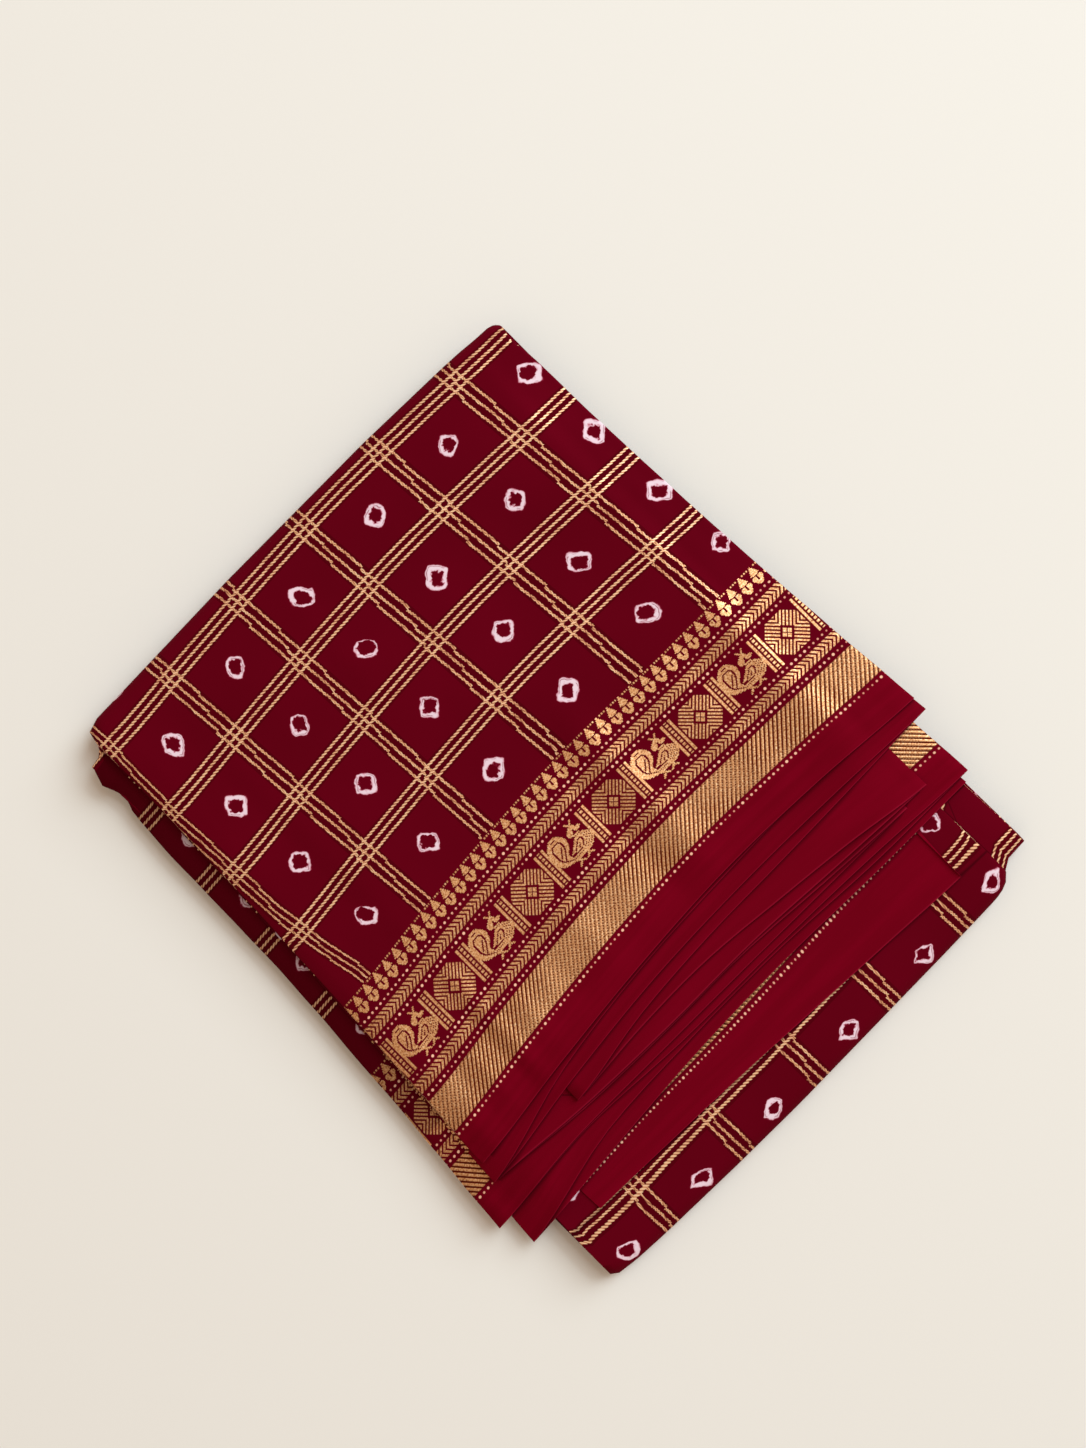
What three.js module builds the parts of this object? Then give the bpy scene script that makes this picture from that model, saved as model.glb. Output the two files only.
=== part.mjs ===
// A sungudi saree, folded as it is stored: the long cloth is pleated back and forth into panels, and
// the pleated strip is then folded twice across, so that it lies as three stacks, one on another.
// Millimetres. X runs along the panels, Y from the fanned selvedges up to the upper fold, and Z up
// from the surface that the pack lies on. The origin is under the middle of the pack.
import * as THREE from "three";

// The cloth
const clothWidth = 1150; // from selvedge to selvedge
const clothThick = 1.0; // one layer of cotton, with the air that it holds
const layerGap = 0.3; // between two layers
const pitch = clothThick + layerGap;

// The pack
const halfLength = 201; // half of its size along X
const halfDepth = 232.8; // half of its size along Y
const edgeSag = 0.06; // how much lower the pack is at its edges than in the middle, as a share

// Facets
const panelSteps = 5; // across a panel, between two pleat folds
const pleatSteps = 3; // around a pleat fold
const crossSteps = 4; // around the upper and the lower fold
const topSteps = 5; // along the top stack, from its selvedge to the upper fold
const middleSteps = 4; // along the middle stack
const bottomSteps = 3; // along the bottom stack

// One row for each pleat fold, from the top panel down. The first and the last row are the cut ends of
// the cloth. Each gives where the fold lies along X at the fanned selvedge, at the upper fold, at the
// lower fold and at the hidden selvedge underneath.
const pleatFolds = [
  { side: -1, atSelvedge: -183, atUpper: -164, atLower: -163, atHidden: -163 },
  { side: 1, atSelvedge: 201, atUpper: 182, atLower: 178, atHidden: 176 },
  { side: -1, atSelvedge: -201, atUpper: -177, atLower: -168, atHidden: -166 },
  { side: 1, atSelvedge: 191, atUpper: 168, atLower: 187, atHidden: 182 },
  { side: -1, atSelvedge: -192, atUpper: -169, atLower: -170, atHidden: -168 },
  { side: 1, atSelvedge: 145, atUpper: 156, atLower: 166, atHidden: 168 },
  { side: -1, atSelvedge: -149, atUpper: -161, atLower: -174, atHidden: -173 },
];

// One row for each panel, from the top one down: where its fanned selvedge lies along Y, at six even
// stations from the panel's left end to its right end.
const selvedges = [
  { left: -137, second: -126, third: -118, fourth: -115, fifth: -116, right: -119 },
  { left: -158, second: -128, third: -112, fourth: -108, fifth: -110, right: -119 },
  { left: -158, second: -154, third: -156, fourth: -157, fifth: -160, right: -163 },
  { left: -179, second: -173, third: -167, fourth: -165, fifth: -166, right: -163 },
  { left: -179, second: -170, third: -164, fourth: -163, fifth: -198, right: -205 },
  { left: -193, second: -194, third: -196, fourth: -198, fifth: -201, right: -205 },
];

// The outline of the upper and the lower fold: Y at places along X.
const upperOutline = [
  { x: -201, y: 200 },
  { x: -177, y: 211 },
  { x: -164, y: 228 },
  { x: -41, y: 231.6 },
  { x: 74, y: halfDepth },
  { x: 139, y: 231.6 },
  { x: 182, y: 228 },
  { x: 201, y: 214 },
];
const lowerOutline = [
  { x: -201, y: -222 },
  { x: -173, y: -226 },
  { x: -131, y: -230 },
  { x: -20, y: -halfDepth },
  { x: 108, y: -231 },
  { x: 152, y: -228 },
  { x: 168, y: -220 },
  { x: 201, y: -217 },
];

const panelCount = selvedges.length;
const stackHeight = panelCount * pitch - layerGap;
const innerRadius = layerGap / 2; // of both cross folds
const upperAxis = 2 * stackHeight + 3 * innerRadius; // height of the upper fold's axis
const lowerAxis = stackHeight + innerRadius; // height of the lower fold's axis

const mix = (from, to, share) => from + (to - from) * share;

// Straight-line reading of a table of { x, y } rows
function readOutline(rows, x) {
  const next = rows.findIndex((row) => row.x > x);
  if (next < 0) return rows[rows.length - 1].y;
  if (next === 0) return rows[0].y;
  const [before, after] = [rows[next - 1], rows[next]];
  return mix(before.y, after.y, (x - before.x) / (after.x - before.x));
}

// Where the fanned selvedge of a panel lies, at a share of the way from its left to its right end
function readSelvedge(panel, share) {
  const stations = Object.values(selvedges[panel]);
  const place = share * (stations.length - 1);
  const index = Math.min(Math.floor(place), stations.length - 2);
  return mix(stations[index], stations[index + 1], place - index);
}

// The columns of the cloth, counted along its length. Each one is a thread from selvedge to selvedge.
// It holds its share of the way across its panel, its height in the stack, how far it stands out past
// the two folds' centres, and the direction its right side faces.
function makeColumns() {
  const columns = [];
  for (let panel = 0; panel < panelCount; panel += 1) {
    const headsRight = panel % 2 === 0;
    const height = (panelCount - 1 - panel) * pitch + clothThick / 2;
    for (let step = 0; step <= panelSteps; step += 1) {
      const along = step / panelSteps;
      const share = headsRight ? along : 1 - along;
      columns.push({ panel, share, height, reach: 0, facing: [0, headsRight ? 1 : -1] });
    }
    if (panel === panelCount - 1) break;
    for (let step = 1; step < pleatSteps; step += 1) {
      const angle = (Math.PI * step) / pleatSteps;
      const side = headsRight ? 1 : -1;
      columns.push({
        panel,
        share: headsRight ? 1 : 0,
        height: height - pitch / 2 + (pitch / 2) * Math.cos(angle),
        reach: side * (pitch / 2) * Math.sin(angle),
        facing: [Math.sin(angle), side * Math.cos(angle)],
      });
    }
  }
  return columns;
}

// The rows of the cloth, from the fanned selvedge to the hidden one
function makeRows() {
  const rows = [];
  const addRun = (stretch, steps, first) => {
    for (let step = first; step <= steps; step += 1) rows.push({ stretch, share: step / steps });
  };
  addRun("top", topSteps, 0);
  addRun("upperFold", crossSteps, 1);
  addRun("middle", middleSteps, 1);
  addRun("lowerFold", crossSteps, 1);
  addRun("bottom", bottomSteps, 1);
  return rows;
}

// Where a pleat fold lies along X in a row of the cloth
function foldPlace(fold, row) {
  const { atSelvedge, atUpper, atLower, atHidden } = fold;
  if (row.stretch === "top") return mix(atSelvedge, atUpper, row.share);
  if (row.stretch === "upperFold") return atUpper;
  if (row.stretch === "middle") return mix(atUpper, atLower, row.share);
  if (row.stretch === "lowerFold") return atLower;
  return mix(atLower, atHidden, row.share);
}

// A point of the folded cloth. The sign is 1 on its right side and -1 on its wrong side.
function clothPoint(column, row, sign) {
  const [faceX, faceHeight] = column.facing;
  const nearFold = pleatFolds[column.panel];
  const farFold = pleatFolds[column.panel + 1];
  const [leftFold, rightFold] = nearFold.side < farFold.side ? [nearFold, farFold] : [farFold, nearFold];
  const inset = clothThick + layerGap / 2; // from the outside of a pleat fold to its centre
  const left = foldPlace(leftFold, row) + inset;
  const right = foldPlace(rightFold, row) - inset;
  const offset = (sign * clothThick) / 2;
  const x = mix(left, right, column.share) + column.reach + offset * faceX;
  const height = column.height + offset * faceHeight;

  const upperRadius = innerRadius + height;
  const lowerRadius = innerRadius + stackHeight - height;
  const upperCentre = readOutline(upperOutline, x) - innerRadius - stackHeight;
  const lowerCentre = readOutline(lowerOutline, x) + innerRadius + stackHeight;
  const selvedge = readSelvedge(column.panel, column.share);
  const turn = Math.PI * row.share;
  if (row.stretch === "top") {
    return [x, mix(selvedge, upperCentre, row.share), upperAxis + upperRadius];
  }
  if (row.stretch === "upperFold") {
    return [x, upperCentre + upperRadius * Math.sin(turn), upperAxis + upperRadius * Math.cos(turn)];
  }
  if (row.stretch === "middle") {
    return [x, mix(upperCentre, lowerCentre, row.share), upperAxis - upperRadius];
  }
  if (row.stretch === "lowerFold") {
    return [x, lowerCentre - lowerRadius * Math.sin(turn), lowerAxis + lowerRadius * Math.cos(turn)];
  }
  const used = upperCentre - selvedge + upperCentre - lowerCentre + Math.PI * (upperRadius + lowerRadius);
  return [x, lowerCentre + (clothWidth - used) * row.share, lowerAxis - lowerRadius];
}

// The pack is a little lower towards its edges, and it stays flat underneath
function settle([x, y, z]) {
  const spread = ((x / halfLength) ** 2 + (y / halfDepth) ** 2) / 2;
  return [x, y, z * (1 - edgeSag * spread)];
}

// One closed sheet: its right side, its wrong side, and the thickness of the cloth along its four edges
function makeCloth() {
  const columns = makeColumns();
  const rows = makeRows();
  const positions = [];
  for (const sign of [1, -1]) {
    for (const column of columns) {
      for (const row of rows) positions.push(...settle(clothPoint(column, row, sign)));
    }
  }
  const sideSize = columns.length * rows.length;
  const face = (i, j) => i * rows.length + j;
  const back = (i, j) => sideSize + i * rows.length + j;
  const indices = [];
  const addQuad = (a, b, c, d) => indices.push(a, b, c, a, c, d);
  const [lastColumn, lastRow] = [columns.length - 1, rows.length - 1];
  for (let i = 0; i < lastColumn; i += 1) {
    for (let j = 0; j < lastRow; j += 1) {
      addQuad(face(i, j), face(i + 1, j), face(i + 1, j + 1), face(i, j + 1));
      addQuad(back(i, j + 1), back(i + 1, j + 1), back(i + 1, j), back(i, j));
    }
    addQuad(back(i, 0), back(i + 1, 0), face(i + 1, 0), face(i, 0));
    addQuad(face(i, lastRow), face(i + 1, lastRow), back(i + 1, lastRow), back(i, lastRow));
  }
  for (let j = 0; j < lastRow; j += 1) {
    addQuad(back(0, j), face(0, j), face(0, j + 1), back(0, j + 1));
    addQuad(back(lastColumn, j + 1), face(lastColumn, j + 1), face(lastColumn, j), back(lastColumn, j));
  }
  const geometry = new THREE.BufferGeometry();
  geometry.setAttribute("position", new THREE.Float32BufferAttribute(positions, 3));
  geometry.setIndex(indices);
  geometry.computeVertexNormals();
  return geometry;
}

const maroonCotton = new THREE.MeshStandardMaterial({ color: 0x6e0014, roughness: 0.85, metalness: 0 });
const saree = new THREE.Mesh(makeCloth(), maroonCotton);
saree.name = "saree";

const group = new THREE.Group();
group.add(saree);
export default group;
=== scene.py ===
# A sungudi saree in maroon cotton with a zari check, tie-dyed rings and a woven border, pleated back and
# forth into panels and then folded twice across into a flat pack.
import bpy
import math
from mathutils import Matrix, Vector, noise


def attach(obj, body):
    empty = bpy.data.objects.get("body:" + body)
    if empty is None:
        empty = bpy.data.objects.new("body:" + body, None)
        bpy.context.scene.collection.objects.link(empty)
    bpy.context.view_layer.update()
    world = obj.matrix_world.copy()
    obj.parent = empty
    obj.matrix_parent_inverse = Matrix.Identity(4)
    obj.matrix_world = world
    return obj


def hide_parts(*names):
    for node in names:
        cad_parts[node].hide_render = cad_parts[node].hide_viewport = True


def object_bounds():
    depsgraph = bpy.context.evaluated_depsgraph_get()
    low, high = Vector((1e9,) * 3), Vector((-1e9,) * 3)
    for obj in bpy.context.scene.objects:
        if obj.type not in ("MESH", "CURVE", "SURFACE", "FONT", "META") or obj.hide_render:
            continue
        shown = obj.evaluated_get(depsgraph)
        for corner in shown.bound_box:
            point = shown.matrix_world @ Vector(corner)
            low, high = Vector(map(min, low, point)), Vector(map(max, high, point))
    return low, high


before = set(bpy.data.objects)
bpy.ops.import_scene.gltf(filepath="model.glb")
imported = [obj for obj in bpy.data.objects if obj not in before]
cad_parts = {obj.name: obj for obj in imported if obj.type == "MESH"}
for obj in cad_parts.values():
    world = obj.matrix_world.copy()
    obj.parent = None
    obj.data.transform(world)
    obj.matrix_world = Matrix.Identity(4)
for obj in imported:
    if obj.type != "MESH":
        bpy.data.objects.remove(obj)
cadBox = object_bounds()
print("frame loaded, packed box", [[round(value, 4) for value in corner] for corner in cadBox])

metresPerMm = 0.001  # tables and patterns are in millimetres


def mix(start, end, share):
    return start + (end - start) * share


def clamp(value, low=0.0, high=1.0):
    return max(low, min(high, value))


def smooth(share):
    share = clamp(share)
    return share * share * (3 - 2 * share)


def bell(distance, width):
    return math.exp(-((distance / width) ** 2))


def wander(x, y, seed):
    return noise.noise(Vector((x, y, seed)))


def readCurve(stations, share):
    # A smooth curve through evenly spaced stations, share 0 at the first and 1 at the last
    place = clamp(share) * (len(stations) - 1)
    index = min(int(place), len(stations) - 2)
    t = place - index
    before = stations[max(index - 1, 0)]
    start, end = stations[index], stations[index + 1]
    after = stations[min(index + 2, len(stations) - 1)]
    slopeIn, slopeOut = (end - before) / 2, (after - start) / 2
    return (
        (2 * t**3 - 3 * t**2 + 1) * start
        + (t**3 - 2 * t**2 + t) * slopeIn
        + (3 * t**2 - 2 * t**3) * end
        + (t**3 - t**2) * slopeOut
    )


def readOutline(rows, x):
    # Straight-line reading of rows of (x, y)
    for (xBefore, yBefore), (xAfter, yAfter) in zip(rows, rows[1:]):
        if x < xAfter:
            return mix(yBefore, yAfter, clamp((x - xBefore) / (xAfter - xBefore)))
    return rows[-1][1]


# Folds that run from selvedge to selvedge, from the cut end of the tucked flap to the other cut end.
# side is 1 at the right, then where the fold lies along X at the fanned selvedge, at the upper fold, at
# the lower fold and at the hidden selvedge underneath, and last where it is along the cloth.
pleatFolds = [
    # side, atSelvedge, atUpper, atLower, atHidden, alongCloth
    (1, 150, 146, 142, 142, 0),
    (-1, -180.5, -166, -163, -163, 376),
    (1, 200.5, 183, 178, 176, 736),
    (-1, -183.5, -166.5, -164, -163, 1110),
    (1, 201, 182, 177, 175, 1482),
    (-1, -112.8, -112, -115, -116, 1787),
    (1, 168.6, 165, 172, 170, 2060),
    (-1, -180, -166, -165, -164, 2405),
    (1, 150.6, 152, 158, 160, 2730),
    (-1, -201, -178, -167, -165, 3072.5),
    (1, 192.6, 177, 180, 178, 3444),
    (-1, -192, -170, -168, -166, 3808),
    (1, 186.6, 166, 187, 182, 4196),
    (-1, -168, -167, -169, -167, 4518),
    (1, 144.6, 156, 166, 167, 4873.4),
    (-1, -149.4, -161, -173.5, -172, 5213),
]

# Where a fold bulges or draws in along the top stack: which fold, at what share of the way from the fan
# to the upper fold, over what share, and how far along X
foldBumps = [
    (9, 0.8, 0.15, -2.6),
    (9, 0.937, 0.018, 3.4),
    (9, 0.976, 0.014, -2.8),
    (2, 0.983, 0.02, -2.0),
]

# Panels between two pleat folds, in the order of the cloth. layer counts from the bottom of a stack, and
# steps is the panel's number of strips. The six stations are where its fanned selvedge lies along Y,
# from its left end to its right end.
panels = [
    # layer, steps, selvedge stations
    (13, 20, (-118, -104, -96, -92, -93, -96)),
    (14, 120, (-123.6, -114, -106.2, -102, -103.8, -109.2)),
    (12, 24, (-136.8, -118, -108, -104, -103, -109.2)),
    (11, 40, (-136.8, -126, -118, -115.2, -116, -118.8)),
    (10, 24, (-137.4, -127.5, -123, -122, -120.5, -118.8)),
    (9, 30, (-137.4, -133.2, -132.4, -137.4, -143.4, -151.2)),
    (8, 36, (-137.4, -142.6, -144.4, -144.2, -148, -151.2)),
    (7, 20, (-137.4, -143.6, -145.4, -145.2, -149.5, -153)),
    (6, 24, (-158.4, -152.5, -152, -152, -152.4, -153)),
    (5, 36, (-158.4, -153, -156.4, -156.6, -158.6, -162.6)),
    (4, 24, (-178.8, -163, -159, -158.6, -162.4, -162.6)),
    (3, 40, (-178.8, -172.8, -167.3, -165.5, -167, -166.8)),
    (2, 16, (-160, -160, -160, -160, -160, -166.8)),
    (1, 24, (-160, -160, -160, -160, -160, -160)),
    (0, 44, (-192.6, -194, -196, -199, -202, -205)),
]
hiddenPanel = 13  # its selvedge lies under the fan, and comes down only at its right end

saree = {
    "width": 1150,  # selvedge to selvedge
    "thickness": 0.34,  # cotton with zari, one layer
    "stackHeight": 7.5,  # one stack of pleated layers
    "innerRadius": 0.15,  # of the upper and the lower fold
    "halfDepth": 232.8,
    "edgeCurve": 1.6,  # how the pleat folds spread towards the fan
    "pleatSteps": 4,  # around a pleat fold
    "curl": (1.1, 4.5),  # how far a selvedge lifts, and over what width
    "fanLift": 3.6,  # how much looser the pleats lie at the fan
    "firstRows": (0.0, 0.005, 0.011),  # close to the fanned selvedge, where it lifts
    "droop": (8.2, 22),  # how far the left side hangs down, and over what width
    "droopEdge": (-165, -159),  # X where that begins, near the fan and near the upper fold
    "rows": {"top": 46, "upperFold": 8, "lowerFold": 9, "bottom": 6},
    "middleRows": (0.08, 0.2, 0.35, 0.5, 0.65, 0.8, 0.9, 0.947, 0.978, 1.0),
    "flare": 0.00083,  # how much wider the pack gets for each millimetre further down
    "flareMiddle": (31.8, 37.3),
}

# The outlines of the upper and the lower fold: (x, y)
upperOutline = [(-201, 208), (-178, 214.5), (-167.5, 216.3), (-165.9, 218), (-164.9, 226), (-155, 229),
                (-131, 229.6), (-41, 232.2), (74, 232.8), (139, 231.2), (176, 229.4), (180, 228.2),
                (182.4, 226), (184, 221.5), (190, 216), (201, 212)]
lowerOutline = [(-201, -222), (-174, -224), (-169, -228), (-155, -229.8), (-131, -231), (-71, -232.4),
                (-20, -232.8), (108, -230.6), (150, -229.4), (159, -227.8), (164.5, -224), (167, -219.4),
                (170, -218.4), (201, -217)]

# Where two layers of the top stack stand apart: above which layer, the middle, the spread and the height
openings = [
    # aboveLayer, x, y, spreadX, spreadY, height
    (10, -80, -135, 75, 30, 1.9),
    (12, 110, -125, 60, 35, 0.7),
    (9, -60, -120, 80, 30, 1.1),
    (8, 30, -128, 70, 24, 1.3),
    (7, -20, -150, 90, 24, 0.9),
    (7, 140, -150, 26, 24, 0.9),
    (3, -60, -160, 90, 26, 1.3),
    (4, 70, -165, 80, 24, 0.8),
    (10, 152, -112, 30, 22, 1.8),
]

# Creases of the top panel: from (x, y) to (x, y), half width, and height, below zero for a trough
creases = [
    (44, 30, 43, -170, 12, 2.7),
    (19, 10, 20, -170, 7, -1.4),
    (84, -30, 86, -150, 15, -0.9),
    (122, 10, 124, -150, 12, -0.8),
    (160, 20, 163, -150, 20, 1.7),
    (-124, -40, -126, -150, 3.6, -0.9),
    (-115, -30, -116, -150, 5, 1.4),
    (-139, -50, -141, -150, 4, 0.9),
    (-151, -40, -155, -150, 4.5, -0.7),
    (-97, -60, -96, -140, 8, 1.2),
    (-66, -50, -64, -140, 8, -1.0),
    (-40, -40, -38, -140, 10, 1.3),
    (-6, -20, -4, -150, 9, 0.9),
    (-30, 150, 40, 40, 16, 0.7),
    (90, 215, 120, 60, 18, -0.7),
    (-120, 190, -60, 60, 20, -0.7),
    (-100, 60, 60, 120, 22, 0.7),
    (-20, 225, -26, 120, 9, 0.5),
    (60, 225, 66, 150, 9, -0.5),
]

layerCount = len(panels)
layerPitch = (saree["stackHeight"] - saree["thickness"]) / (layerCount - 1)
upperAxis = 2 * saree["stackHeight"] + 3 * saree["innerRadius"]  # height of the upper fold's axis
lowerAxis = saree["stackHeight"] + saree["innerRadius"]  # height of the lower fold's axis


def layerHeight(layer):
    return saree["thickness"] / 2 + layer * layerPitch


def makeRows():
    rows = [("top", share) for share in saree["firstRows"]]
    for stretch in ("top", "upperFold", "middle", "lowerFold", "bottom"):
        if stretch == "middle":
            rows += [(stretch, share) for share in saree["middleRows"]]
        else:
            steps = saree["rows"][stretch]
            rows += [(stretch, step / steps) for step in range(1, steps + 1)]
    return rows


def foldPlace(index, row):
    side, atSelvedge, atUpper, atLower, atHidden, alongCloth = pleatFolds[index]
    stretch, share = row
    if stretch == "top":
        place = mix(atUpper, atSelvedge, (1 - share) ** saree["edgeCurve"])
        length = 400 * share
    elif stretch == "upperFold":
        place, length = atUpper, 400 + 20 * share
    elif stretch == "middle":
        place, length = mix(atUpper, atLower, share), 420 + 440 * share
    elif stretch == "lowerFold":
        place, length = atLower, 860 + 20 * share
    else:
        place, length = mix(atLower, atHidden, share), 880 + 270 * share
    visible = 0.35 if index in (1, 2) else 0.8
    place += visible * wander(length / 37, 0.0, index * 3.7)
    for bumpFold, bumpShare, bumpWidth, shift in foldBumps:
        if index == bumpFold and stretch == "top":
            place += shift * bell(share - bumpShare, bumpWidth)
    return place


def makeColumns():
    # Each column is a thread from selvedge to selvedge: its panel, its share of the way from the
    # panel's left end, its height, how far it reaches past the fold's centre, and how its face points
    columns = []
    for panel, (layer, steps, stations) in enumerate(panels):
        headsRight = panel % 2 == 1
        for step in range(steps + 1):
            along = step / steps
            along = mix(along, (1 - math.cos(math.pi * along)) / 2, 0.45)
            share = along if headsRight else 1 - along
            columns.append((panel, share, layerHeight(layer), 0.0, (0.0, 1.0 if headsRight else -1.0)))
        if panel == layerCount - 1:
            break
        side = 1 if headsRight else -1
        start, end = layerHeight(layer), layerHeight(panels[panel + 1][0])
        if panel == 1:
            start -= layerPitch
        radius = (start - end) / 2
        for step in range(1, saree["pleatSteps"]):
            angle = math.pi * step / saree["pleatSteps"]
            height = (start + end) / 2 + radius * math.cos(angle)
            reach = side * abs(radius) * math.sin(angle)
            turn = 1 if radius > 0 else -1
            facing = (turn * math.sin(angle), side * math.cos(angle))
            columns.append((panel, 1.0 if headsRight else 0.0, height, reach, facing))
    return columns


def overhang(x, y):
    # How far the layers that stand out past the left side of the pack hang down
    edge = mix(*saree["droopEdge"], smooth((y + 60) / 240))
    depth, width = saree["droop"]
    return depth * smooth((edge - x) / width) * smooth((226 - y) / 50)


def settled(height, x, folds):
    # How far a layer comes down where layers under it have ended
    down = 0.0
    for index, edge in enumerate(folds):
        side = pleatFolds[index][0]
        if index > 3 and (side > 0 or index == 5):
            above = clamp((height - layerHeight(14 - index)) / layerPitch - 1)
            down += 2 * layerPitch * above * smooth((x - edge) * side / 16)
    return down


def topRelief(x, y):
    return 0.5 * wander(x / 95, y / 80, 4.1) + 0.2 * wander(x / 45, y / 60, 9.7)


def topCreases(x, y):
    relief = 0.4 * wander(x / 30, y / 44, 2.9)
    for xFrom, yFrom, xTo, yTo, width, height in creases:
        run, rise = xTo - xFrom, yTo - yFrom
        length = math.hypot(run, rise)
        along = ((x - xFrom) * run + (y - yFrom) * rise) / length
        off = ((x - xFrom) * rise - (y - yFrom) * run) / length
        fade = smooth((along + 20) / 40) * smooth((length + 20 - along) / 40)
        if fade > 0 and abs(off) < 3 * width:
            relief += height * fade * bell(off, width)
    return relief


def uncovered(panel, x, selvedge, folds):
    # 1 where a fanned selvedge is not under the selvedge of a higher panel
    layer, share = panels[panel][0], 1.0
    for other, (otherLayer, steps, stations) in enumerate(panels):
        if otherLayer > layer:
            left, right = sorted((folds[other], folds[other + 1]))
            place = (x - left) / (right - left)
            if 0 < place < 1:
                cover = selvedge - selvedgePlace(other, place)
                share = min(share, 1 - smooth(cover / 3))
    return share


def topHeight(height, x, y, row, folds):
    # Height above the upper fold's axis in the top stack, with its openings, creases and overhang
    lifted = saree["innerRadius"] + height
    near = smooth((saree["halfDepth"] - 10 - y) / 50)
    for above, xMiddle, yMiddle, spreadX, spreadY, opening in openings:
        share = clamp((height - layerHeight(above)) / layerPitch)
        if share > 0:
            lifted += opening * share * bell(x - xMiddle, spreadX) * bell(y - yMiddle, spreadY)
    lifted += topRelief(x, y) * near * height / saree["stackHeight"]
    lifted -= settled(height, x, folds) * near
    lifted += saree["fanLift"] * height / saree["stackHeight"] * smooth((-90 - y) / 45)
    onTop = clamp((height - layerHeight(13)) / layerPitch)
    if onTop > 0:
        # The top panel alone stands a little free, so that it can have its own creases
        inside = smooth((x - folds[1] - 4) / 14) * smooth((folds[2] - 6 - x) / 16) * near
        fromEdge = smooth(row[1] / 0.07)
        lifted += onTop * (0.6 + 0.8 * inside * fromEdge)
        lifted += onTop * topCreases(x, y) * inside * (0.35 + 0.65 * fromEdge)
    bottomShare = clamp((height - layerHeight(6)) / layerPitch)
    return lifted - overhang(x, y) * (1 - 0.25 * bottomShare)


selvedgeFolds = [foldPlace(index, ("top", 0.0)) for index in range(len(pleatFolds))]
farFromEdge = 50  # where no edge above throws its painted shade
leftStrip = {
    "shade": 1.0,  # as far from an edge as the strip counts to be, for its painted shade
    "width": 20,  # how far it reaches under the top panel
    "hidden": -105,  # Y from which all of it under the top panel is hidden
    "fade": (-85, 45),  # Y where its painted shade fades towards the fan, and over what length
}


def belowEdge(panel, x, y, stretch, folds):
    # How far a place lies out from under the fanned selvedges above it, which sets the painted shade there
    if stretch not in ("top", "middle"):
        return farFromEdge
    layer = panels[panel][0] if stretch == "top" else -1
    nearestEdge, covered = farFromEdge + y, False
    for other, (otherLayer, steps, stations) in enumerate(panels):
        if otherLayer > layer:
            left, right = sorted((folds[other], folds[other + 1]))
            if left < x < right:
                place = (x - left) / (right - left)
                nearestEdge, covered = min(nearestEdge, selvedgePlace(other, place)), True
    atLeft = stretch == "top" and panel != 1 and x < folds[1] + leftStrip["width"]
    if atLeft and (y > leftStrip["hidden"] or (not covered and x < folds[1])):
        # The strip that stands out at the left gets painted shade, as it lies in the shadow of the top panel
        fadeStart, fadeLength = leftStrip["fade"]
        return mix(leftStrip["shade"], farFromEdge, smooth((fadeStart - y) / fadeLength))
    return nearestEdge - y


def selvedgePlace(panel, share, reach=0.0):
    if panel == hiddenPanel and reach > 0:
        return panels[-1][2][-1]  # around the fold it shares with the last panel
    return readCurve(panels[panel][2], share)


def clothPoint(column, row, sign, folds):
    panel, share, height, reach, (faceX, faceHeight) = column
    stretch, rowShare = row
    half = saree["thickness"] / 2
    inset = half + layerPitch / 2
    left, right = sorted((folds[panel], folds[panel + 1]))
    middleX = mix(left + inset, right - inset, share) + reach
    if panel == 1 and reach == 0:
        # The top panel comes down by one layer past the cut end of the tucked flap
        height -= layerPitch * smooth((middleX - 152) / 16)
    x = middleX + sign * half * faceX
    height += sign * half * faceHeight
    stack, inner = saree["stackHeight"], saree["innerRadius"]
    upperRadius, lowerRadius = inner + height, inner + stack - height
    upperCentre = readOutline(upperOutline, x) - inner - stack
    lowerCentre = readOutline(lowerOutline, x) + inner + stack
    selvedge = selvedgePlace(panel, share, reach)
    turn = math.pi * rowShare
    if stretch == "top":
        y = mix(selvedge, upperCentre, rowShare)
        lift, width = saree["curl"]
        curl = lift * (1 - smooth((y - selvedge) / width))
        if curl > 0:
            curl *= uncovered(panel, x, selvedge, selvedgeFolds)
        return x, y, upperAxis + curl + topHeight(height, x, y, row, folds)
    if stretch == "upperFold":
        return x, upperCentre + upperRadius * math.sin(turn), upperAxis + upperRadius * math.cos(turn)
    if stretch == "middle":
        return x, mix(upperCentre, lowerCentre, rowShare), upperAxis - upperRadius
    if stretch == "lowerFold":
        return x, lowerCentre - lowerRadius * math.sin(turn), lowerAxis + lowerRadius * math.cos(turn)
    used = 2 * upperCentre - selvedge - lowerCentre + math.pi * (upperRadius + lowerRadius)
    return x, lowerCentre + (saree["width"] - used) * rowShare, lowerAxis - lowerRadius


def flared(x, y, z):
    # The pack is a little wider at its foot
    middleX, middleY = saree["flareMiddle"]
    wider = 1 + saree["flare"] * (upperAxis + saree["stackHeight"] - z)
    return middleX + (x - middleX) * wider, middleY + (y - middleY) * wider, z


# Where the check's long threads cross the top panel, near the upper fold and at the border: X
checkColumns = {
    "yUpper": 215, "upper": (-162.6, -107.4, -46.2, 13.8, 78, 140.2),
    "yBorder": 11, "border": (-151.2, -95.4, -37.8, 26.4, 92, 155.4),
    "first": 378,  # the cloth's length at the first of them
}
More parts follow.
